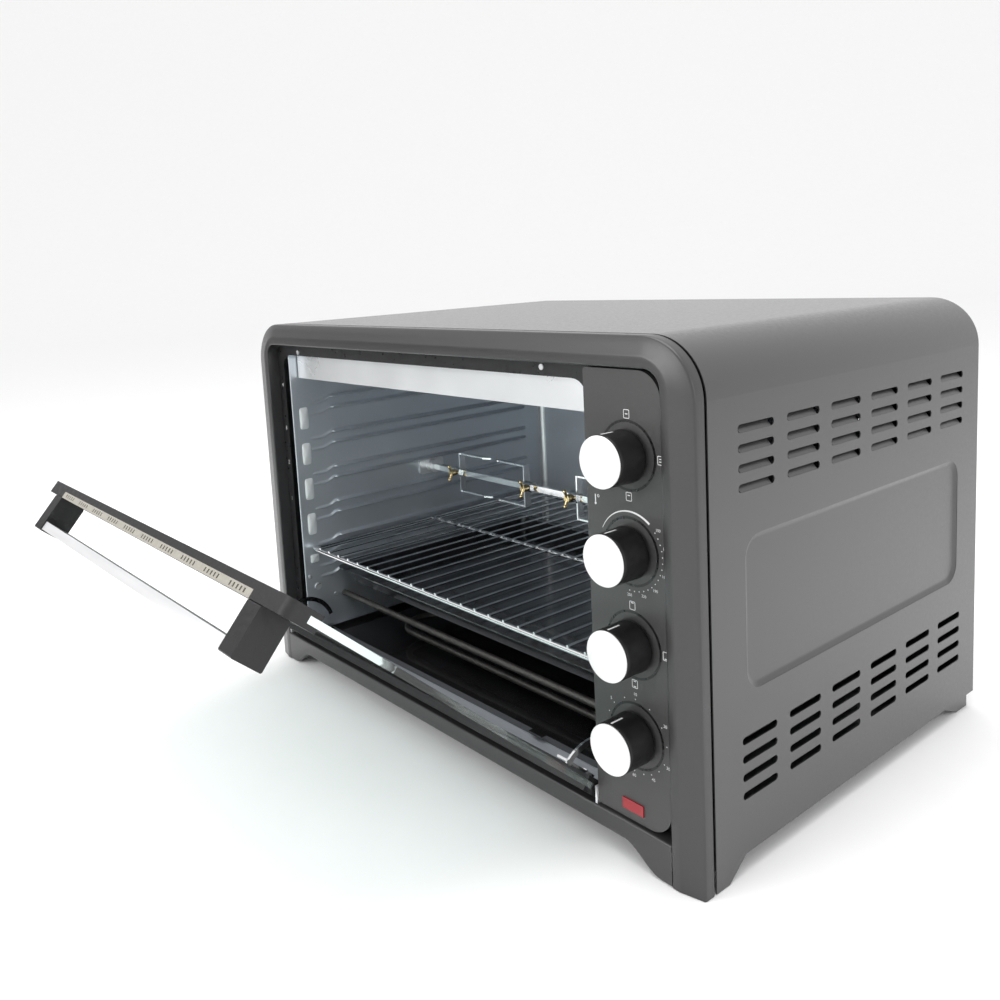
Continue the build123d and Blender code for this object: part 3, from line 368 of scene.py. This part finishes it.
frame_band = mesh_piece("frame_band", points.reshape(-1, 3),
                        grid_faces(*ring.shape[:2])[:, ::-1], dark_enamel)

opening = half_wide - 26 * millimetre
ledge = 32 * millimetre  # height of the sill under the door
x = np.linspace(-opening, opening, 241)
# the lower edge: flat feet, an S of half a cosine wave, then the raised middle
toe, shoulder, lift = half_wide - 0.036, half_wide - 0.072, 0.0165
wave = np.clip((np.abs(x) - shoulder) / (toe - shoulder), 0, 1)
edge = lift * (0.5 + 0.5 * np.cos(np.pi * wave))
sill = np.full_like(x, ledge)
stations = [  # height along the edge, millimetres behind the front: rolls top and bottom
    (sill, 14.0), (sill, 2.0), (sill - 0.2e-3, 0.6), (sill - 0.9e-3, 0.1), (sill - 2e-3, 0.0),
    ((ledge + edge) / 2, 0.0), (edge + 2.2e-3, 0.0), (edge + 1.0e-3, 0.15), (edge + 0.25e-3, 0.7),
    (edge, 1.8), (edge, 14.0),
]
points = np.stack([np.stack([x, np.full_like(x, front_y + back * millimetre), z], -1)
                   for z, back in stations])
frame_apron = mesh_piece("frame_apron", points.reshape(-1, 3),
                         grid_faces(len(stations), x.size), dark_enamel)
for piece in (frame_band, frame_apron):
    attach(piece, "cabinet")
    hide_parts("front_frame")
print("frame band and apron:", len(frame_band.data.polygons), len(frame_apron.data.polygons))

# %% [markdown]
# A dial is turned, so its skirt and cap are surfaces of revolution: a list of (depth, radius)
# pairs spun round the stem. Spinning gives perfect circles and lets every edge have its radius.

# %% The dials


def lathe(name, profile, centre_x, centre_z, material, sides=96):
    """(y, r) pairs spun about the line x = centre_x, z = centre_z, with one point at each pole."""
    profile = np.array(profile, float)
    angle = np.linspace(0, 2 * np.pi, sides, endpoint=False)
    body = profile[1:-1]
    rings = np.stack([
        centre_x + body[:, 1][:, None] * np.cos(angle), np.repeat(body[:, 0][:, None], sides, 1),
        centre_z + body[:, 1][:, None] * np.sin(angle)], -1).reshape(-1, 3)
    poles = np.array([(centre_x, profile[0, 0], centre_z), (centre_x, profile[-1, 0], centre_z)])
    points = np.concatenate([rings, poles])
    faces = grid_faces(len(body), sides, close_columns=True).tolist()
    first, last, count = len(rings), len(rings) + 1, np.arange(sides)
    faces += [[first, int((i + 1) % sides), int(i)] for i in count]
    base = (len(body) - 1) * sides
    faces += [[last, int(base + i), int(base + (i + 1) % sides)] for i in count]
    return outwards(mesh_piece(name, points, faces, material))


knob_skirt = finish("knob_skirt", (0.005, 0.005, 0.005), 0.42, spread=0.08, scale=300, bump=0.06,
                    bump_scale=1800, specular=0.3)
knob_cap = finish("knob_cap", (0.84, 0.84, 0.84), 0.40, metal=0.1, spread=0.02, scale=200,
                  bump=0.0)
panel_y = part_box("control_panel")[0][1]
centres = {}
for name in dial_names:
    low, high = (np.array(c, float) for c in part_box(f"{name}_knob"))
    cap_low, cap_high = (np.array(c, float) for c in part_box(f"{name}_knob_cap"))
    cx, cz = (cap_low[0] + cap_high[0]) / 2, (cap_low[2] + cap_high[2]) / 2
    centres[name] = (cx, cz)
    face, seam, back, tip = cap_low[1], cap_high[1], panel_y - 0.0022, high[1]
    m = millimetre
    skirt = lathe(f"{name}_skirt", [
        (tip, 0), (tip, 2.6 * m), (tip - 0.4 * m, 3.0 * m), (back, 3.0 * m), (back, 18.5 * m),
        (back - 0.2 * m, 19.0 * m), (back - 0.8 * m, 19.3 * m), (back - 2.6 * m, 19.3 * m),
        (back - 3.2 * m, 19.1 * m), (seam + 3 * m, 18.95 * m), (seam + 0.7 * m, 18.9 * m),
        (seam + 0.15 * m, 18.6 * m), (seam, 18.1 * m), (seam, 0)], cx, cz, knob_skirt)
    cap = lathe(f"{name}_cap", [
        (seam, 0), (seam, 18.0 * m), (seam - 0.25 * m, 18.45 * m), (seam - 0.8 * m, 18.6 * m),
        (face + 0.7 * m, 18.6 * m), (face + 0.2 * m, 18.4 * m), (face, 17.8 * m), (face, 12 * m),
        (face, 0)], cx, cz, knob_cap)
    # the pointer: a thin curved strip lying on the top of the skirt
    run = np.linspace(seam + 1.2 * m, seam + 13 * m, 6)
    fan = np.radians(90 + np.linspace(-2.4, 2.4, 5))
    yy, aa = np.meshgrid(run, fan, indexing="ij")
    strip = np.stack([cx + 19.16 * m * np.cos(aa), yy, cz + 19.16 * m * np.sin(aa)], -1)
    pointer = mesh_piece(f"{name}_pointer", strip.reshape(-1, 3), grid_faces(6, 5)[:, ::-1],
                         print_white)
    for piece, old, slot in ((skirt, f"{name}_knob", "black_plastic"),
                             (cap, f"{name}_knob_cap", "cap_silver")):
        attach(piece, f"{name}_dial")
        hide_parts(old)
    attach(pointer, f"{name}_dial")
print("dials at", centres)

# %% [markdown]
# The panel is printed with small oven symbols, dots and numbers. The dark ring round each dial
# is painted shade: it stands for the shadow gap round the dial's base.
# Print has no thickness worth drawing, so every mark is a ribbon floating a tenth of a
# millimetre over the enamel. Ribbons make arcs, boxes and hands with one function.

# %% The panel's print
PRINT_LIFT = 0.00012  # how far print floats over the enamel, in metres
# painted shade: a flat near-black ring standing for the shadow gap round each dial
ring_painted_shade = finish("ring_painted_shade", (0.004, 0.004, 0.004), 0.30, spread=0.1, scale=300, bump=0.0)


def ribbon(line, width, closed=False):
    """A flat strip of `width` along an (n, 2) line in the panel: each point moves half a width
    to both sides of the line's direction, which is worked out from its two neighbours."""
    line = np.asarray(line, float)
    if closed:
        ahead = np.roll(line, -1, 0) - np.roll(line, 1, 0)
    else:
        ahead = np.gradient(line, axis=0)
    ahead /= np.linalg.norm(ahead, axis=1, keepdims=True)
    reach = np.broadcast_to(np.asarray(width) / 2, (len(line),))[:, None]
    side = np.stack([-ahead[:, 1], ahead[:, 0]], -1) * reach
    both = np.stack([line + side, line - side])
    return both.reshape(-1, 2), grid_faces(2, len(line), close_columns=closed)


def add_mark(line, width, closed=False, store=None):
    """Collects a ribbon, in millimetres on the panel, into one growing mesh."""
    store = print_store if store is None else store
    flat, faces = ribbon(line, width, closed)
    start = sum(len(p) for p in store["points"])
    store["points"].append(flat)
    store["faces"].append(faces + start)


def arc_line(cx, cz, radius, start, end, count=40):
    """Points on a circle, by clock angle in degrees: 0 is up and angles grow clockwise."""
    angle = np.radians(np.linspace(start, end, count, endpoint=abs(end - start) < 359))
    return np.stack([cx + radius * np.sin(angle), cz + radius * np.cos(angle)], -1)


def dot(cx, cz, radius, angle, size):
    """A small disc, drawn as a ribbon round a circle of a quarter of its width."""
    x, z = cx + radius * math.sin(math.radians(angle)), cz + radius * math.cos(math.radians(angle))
    add_mark(arc_line(x, z, size / 4, 0, 360, 10), size / 2, True)


def oven_symbol(x, z, rods):
    """A rounded box with short bars that show which heating rods are on."""
    w, h, r = 2.5, 3.0, 0.7
    corners = [(w - r, h - r, 0), (w - r, -h + r, 90), (-w + r, -h + r, 180), (-w + r, h - r, 270)]
    line = np.concatenate([arc_line(x + a, z + b, r, s, s + 90, 5) for a, b, s in corners])
    add_mark(line, 0.5, True)
    for height in rods:
        add_mark([(x - 1.2, z + height), (x, z + height), (x + 1.2, z + height)], 0.7)


print_store = {"points": [], "faces": []}
ring_store = {"points": [], "faces": []}
mm = 1000.0
for name in dial_names:
    cx, cz = centres[name][0] * mm, centres[name][1] * mm
    # the ring of painted shade round the dial
    add_mark(arc_line(cx, cz, 24.8, 0, 360, 96), 1.9, True, ring_store)
    if name == "upper_heat":
        for angle, rods in ((0, (0,)), (90, (0.9, -0.9)), (180, (0.9,))):
            a = math.radians(angle)
            oven_symbol(cx + 29.6 * math.sin(a), cz + 29.6 * math.cos(a), rods)
    if name == "lower_heat":
        for angle, rods in ((0, (2.0,)), (90, (-2.0,)), (180, (2.0, -2.0))):
            a = math.radians(angle)
            oven_symbol(cx + 29.6 * math.sin(a), cz + 29.6 * math.cos(a), rods)
    if name == "thermostat":
        swell = np.linspace(0.35, 1.7, 40)
        add_mark(arc_line(cx, cz, 29.3, -64, 38, 40), swell)
        for angle in np.linspace(52, 184, 16):
            dot(cx, cz, 29.0, angle, 0.9)
        # a thermometer: bulb, stem and a small degree ring
        add_mark(arc_line(cx - 32.5, cz + 30.2, 0.5, 0, 360, 12), 1.0, True)
        add_mark([(cx - 32.5, cz + 30.5), (cx - 32.5, cz + 34), (cx - 32.5, cz + 37)], 0.9)
        add_mark(arc_line(cx - 29.6, cz + 36, 0.9, 0, 360, 14), 0.4, True)
    if name == "timer":
        for angle in (-68, -48, -22, 0, 28, 58, 86, 116, 134, 152, 168, 186):
            dot(cx, cz, 28.2, angle, 0.9)
        add_mark(arc_line(cx - 31.5, cz + 40.0, 3.4, 0, 360, 28), 0.55, True)
        add_mark([(cx - 31.5, cz + 42.2), (cx - 31.5, cz + 40.0), (cx - 29.9, cz + 39.1)], 0.55)


def flat_mesh(name, store, lift, material, plane_y):
    """Puts collected ribbons on an upright plane, facing the front."""
    flat = np.concatenate(store["points"]) / mm
    points = np.stack([flat[:, 0], np.full(len(flat), plane_y - lift), flat[:, 1]], -1)
    piece = mesh_piece(name, points, np.concatenate(store["faces"]), material, smooth=False)
    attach(piece, "cabinet")
    return piece


panel_marks = flat_mesh("panel_marks", print_store, PRINT_LIFT, print_white, panel_y)
dial_shade_rings = flat_mesh("dial_shade_rings", ring_store, 0.00008, ring_painted_shade, panel_y)


def numeral(name, text, x, z, size, plane_y, angle=0.0):
    """A number made as text, turned upright, then made a mesh so its place can be applied."""
    curve = bpy.data.curves.new(name, "FONT")
    curve.body, curve.size, curve.align_x, curve.align_y = text, size, "CENTER", "CENTER"
    curve.resolution_u = 3
    label = bpy.data.objects.new(name, curve)
    bpy.context.scene.collection.objects.link(label)
    bpy.context.view_layer.update()
    mesh = bpy.data.meshes.new_from_object(label.evaluated_get(bpy.context.evaluated_depsgraph_get()))
    bpy.data.objects.remove(label)
    spin = Matrix.Rotation(math.radians(angle), 4, "Y")
    place = Matrix.Translation((x, plane_y - PRINT_LIFT, z))
    mesh.transform(place @ spin @ Matrix.Rotation(math.pi / 2, 4, "X"))
    mesh.name = name
    mesh.materials.clear()
    mesh.materials.append(print_white)
    piece = bpy.data.objects.new(name, mesh)
    bpy.context.scene.collection.objects.link(piece)
    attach(piece, "cabinet")
    return piece


def round_numbers(dial, labels, radius, size):
    """Numbers standing round a dial at clock angles."""
    cx, cz = centres[dial]
    for angle, text in labels:
        a = math.radians(angle)
        numeral(f"{dial}_number_{text}", text, cx + radius * math.sin(a),
                cz + radius * math.cos(a), size, panel_y)


degrees = ((52, "100"), (76, "130"), (112, "160"), (138, "190"), (160, "220"), (184, "250"))
minutes = ((-48, "5"), (0, "10"), (58, "20"), (116, "30"), (152, "45"), (186, "60"))
round_numbers("thermostat", degrees, 0.0325, 0.0030)
round_numbers("timer", minutes, 0.0320, 0.0034)

# rack heights, numbered on the black plate beside the opening
plate_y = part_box("face_plate")[0][1]
for index, height in enumerate((0.326, 0.276, 0.236, 0.193)):
    numeral(f"rack_height_{4 - index}", str(4 - index), -0.2775, height, 0.0065, plate_y)
print("print ready:", len(panel_marks.data.polygons), "mark faces")

# %% [markdown]
# The side walls of the cavity are pressed sheets. Each rack level is a pair of rounded ribs,
# and towards the door each rib dips and dies away, which guides the rack in. A rib is a soft
# ridge over a centre line, so the whole wall is one height map and stays one sheet.

# %% The pressed side walls
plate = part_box("liner_left_wall")[0][1]
wall_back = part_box("liner_left_wall")[1][1]
tray_level, rack_level, level_pitch = 0.104, 0.1315, 0.0415
levels = [tray_level] + [rack_level + level_pitch * i for i in range(5)]
rib_first, rib_last = plate + 0.050, plate + 0.352


def rib_height(y, z, centre):
    """6 mm ridge along z = centre: cos^2 across its 5.2 mm width, rounded off at the far end,
    sinking 5 mm and fading over the 30 mm in front of its first rounded knuckle."""
    near = np.clip((rib_first - y) / 0.030, 0, 1)
    line = centre - 0.005 * (0.5 - 0.5 * np.cos(np.pi * np.clip(near * 2, 0, 1)))
    across = np.clip(np.abs(z - line) / 0.0027, 0, 1)
    fade = np.clip(1 - near, 0, 1) ** 0.7 * np.clip((rib_last - y) / 0.004, 0, 1) ** 0.5
    knuckle = np.where(y > rib_first - 0.002, 1.0, 0.55)
    return 0.006 * np.cos(np.pi / 2 * across) ** 2 * fade * knuckle


rib_lines = [level + offset for level in levels for offset in (-0.002, 0.0106)]
side_low, side_high = (np.array(c, float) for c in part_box("liner_left_wall"))
floor_z, roof_z = side_low[2], side_high[2]
wall_y = np.unique(np.concatenate([
    np.linspace(plate, plate + 0.060, 56), np.linspace(plate + 0.060, rib_last - 0.006, 50),
    np.linspace(rib_last - 0.006, wall_back, 22)]))
fine_z = [np.linspace(line - 0.0085, line + 0.0032, 20) for line in rib_lines]
wall_z = np.unique(np.round(np.concatenate([np.linspace(floor_z, roof_z, 60)] + fine_z), 5))
yy, zz = np.meshgrid(wall_y, wall_z, indexing="ij")
ridge = np.max([rib_height(yy, zz, line) for line in rib_lines], axis=0)
cavity_x = {"left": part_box("liner_top")[0][0] + 0.0008, "right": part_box("liner_top")[1][0] - 0.0008}
for side, way in (("left", 1), ("right", -1)):
    x = cavity_x[side] + way * ridge
    front_sheet = np.stack([x, yy, zz], -1).reshape(-1, 3)
    order = grid_faces(wall_y.size, wall_z.size)
    wall = mesh_piece(f"pressed_wall_{side}", front_sheet,
                      order if way > 0 else order[:, ::-1], galvanised)
    thick = wall.modifiers.new("sheet", "SOLIDIFY")
    thick.thickness, thick.offset = 0.0008, -1
    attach(wall, "cabinet")
    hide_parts(f"liner_{side}_wall")
    # pads between the levels, coloured white as a painted reflection, and in the far corner a rolled cove
    # whose bright metal is a painted highlight
    pads = [0.12025] + [rack_level + level_pitch * i + 0.0303 for i in range(4)]
    for index, z in enumerate(pads):
        turn = np.linspace(0, 2 * np.pi, 40, endpoint=False)
        squared = [np.sign(wave) * np.abs(wave) ** 0.35 for wave in (np.cos(turn), np.sin(turn))]
        edge = np.stack([0.0056 * squared[0], (0.0125 if index else 0.005) * squared[1]], -1)
        rings = np.concatenate([edge, edge * 0.93, edge * 0.0])
        lift = np.repeat([0.0, 0.0006, 0.0008], len(turn))
        pad_points = np.stack([cavity_x[side] + way * lift, plate + 0.014 + rings[:, 0],
                               z + rings[:, 1]], -1)
        order = grid_faces(3, len(turn), close_columns=True)
        pad = mesh_piece(f"wall_pad_{side}_{index}", pad_points,
                         order if way < 0 else order[:, ::-1], pad_painted_reflection)
        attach(pad, "cabinet")
    bend = np.linspace(0, np.pi / 2, 12)
    height = np.linspace(floor_z, roof_z - 0.001, 8)
    bb, hh = np.meshgrid(bend, height, indexing="ij")
    radius = 0.007
    cove = np.stack([cavity_x[side] + way * (radius - radius * np.cos(bb) + 0.0002),
                     wall_back - radius + radius * np.sin(bb) - 0.0002, hh], -1).reshape(-1, 3)
    order = grid_faces(12, 8)
    # painted highlight: the real corner is galvanised sheet, made bright here to stand for the light its
    # rounding catches
    corner = mesh_piece(f"corner_cove_{side}", cove,
                        order if way > 0 else order[:, ::-1], bright_sheet_and_highlight)
    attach(corner, "cabinet")
print("wall points", yy.size, "ridge", ridge.max())

# %% [markdown]
# The opening in the black plate has rounded top corners. Two small webs of the same enamel
# round it off: each is the square corner less a quarter circle.

# %% The opening's rounded corners
open_x = {"left": cavity_x["left"] - 0.010, "right": cavity_x["right"]}
open_z = roof_z
plate_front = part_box("face_plate")[0][1] + 0.0002
for side, way in (("left", 1), ("right", -1)):
    turn = np.linspace(0, np.pi / 2, 16)
    radius = 0.015
    arc = np.stack([open_x[side] + way * radius * (1 - np.sin(turn)),
                    open_z - radius * (1 - np.cos(turn))], -1)
    outer = np.stack([np.full(16, open_x[side] - way * 0.0005), np.full(16, open_z + 0.0005)], -1)
    rows = [np.stack([line[:, 0], np.full(16, depth_y), line[:, 1]], -1)
            for line, depth_y in ((outer, plate_front - 0.0006), (arc, plate_front - 0.0006),
                                  (arc, plate_front + 0.001))]
    web = mesh_piece(f"opening_corner_{side}", np.concatenate(rows), grid_faces(3, 16),
                     black_enamel, smooth=False)
    outwards(web)
    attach(web, "cabinet")

# %% [markdown]
# The step round the pressed field on each side of the cover is drawn, not cut. A band that
# rolls over, slopes and rolls flat again follows the field's rounded outline.

# %% The pressed field's soft edge
cover_low, cover_high = (np.array(c, float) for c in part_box("outer_cover"))
field_y, field_z = (cover_low[1] + cover_high[1]) / 2, 0.194
field_long, field_tall, field_radius = 0.328, 0.117, 0.018
steps = np.array([  # inset, depth below the cover's side, in millimetres
    (-0.6, -0.02), (0.2, 0.02), (0.9, 0.25), (2.6, 1.3), (4.4, 2.2), (5.4, 2.48), (6.4, 2.5),
]) * 0.001


def rounded_outline(long, tall_side, radius, inset, count=14):
    """Corners of a rounded rectangle drawn in by `inset`, going round once."""
    a, b, r = long / 2 - inset, tall_side / 2 - inset, max(radius - inset, 0.001)
    parts = []
    for cx, cz, start in ((a - r, b - r, 0), (r - a, b - r, 90),
                          (r - a, r - b, 180), (a - r, r - b, 270)):
        angle = np.radians(np.linspace(start, start + 90, count))
        parts.append(np.stack([cx + r * np.cos(angle), cz + r * np.sin(angle)], -1))
    return np.concatenate(parts)


for side, edge_x in (("left", cover_low[0]), ("right", cover_high[0])):
    way = 1 if side == "right" else -1
    rows = []
    for inset, sunk in steps:
        line = rounded_outline(field_long, field_tall, field_radius, inset)
        rows.append(np.stack([np.full(len(line), edge_x - way * sunk), field_y + line[:, 0],
                              field_z + line[:, 1]], -1))
    band = np.stack(rows)
    order = grid_faces(*band.shape[:2], close_columns=True)
    soft_step = mesh_piece(f"pressed_edge_{side}", band.reshape(-1, 3),
                           order[:, ::-1] if way > 0 else order, cover_enamel)
    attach(soft_step, "cabinet")
print("soft details ready")

# %% [markdown]
# The floor is one smooth sheet that bends up into a backdrop behind the oven. It is worked out
# as a height over distance, so there is no corner to see.

# %% The floor and backdrop
along = np.linspace(-14.0, 22.0, 140)
across = np.linspace(-20.0, 20.0, 40)
rise = np.clip(along - 7.0, 0, 9) ** 2 * 0.16
yy, xx = np.meshgrid(along, across, indexing="ij")
zz = np.repeat(rise[:, None], across.size, axis=1) - 0.0005
turn = math.radians(51.4)
px = xx * math.cos(turn) - yy * math.sin(turn)
py = xx * math.sin(turn) + yy * math.cos(turn)
floor = mesh_piece("studio_floor", np.stack([px, py, zz], -1).reshape(-1, 3),
                   grid_faces(along.size, across.size)[:, ::-1], paper)
# a dark card out of view, which the front's enamel mirrors
card_y, card_z = np.meshgrid((-2.4, -0.62), (0.02, 0.9), indexing="ij")
card_points = np.stack([np.full_like(card_y, -1.6), card_y, card_z], -1).reshape(-1, 3)
dark_card = mesh_piece("dark_card", card_points, grid_faces(2, 2), black_enamel, smooth=False)
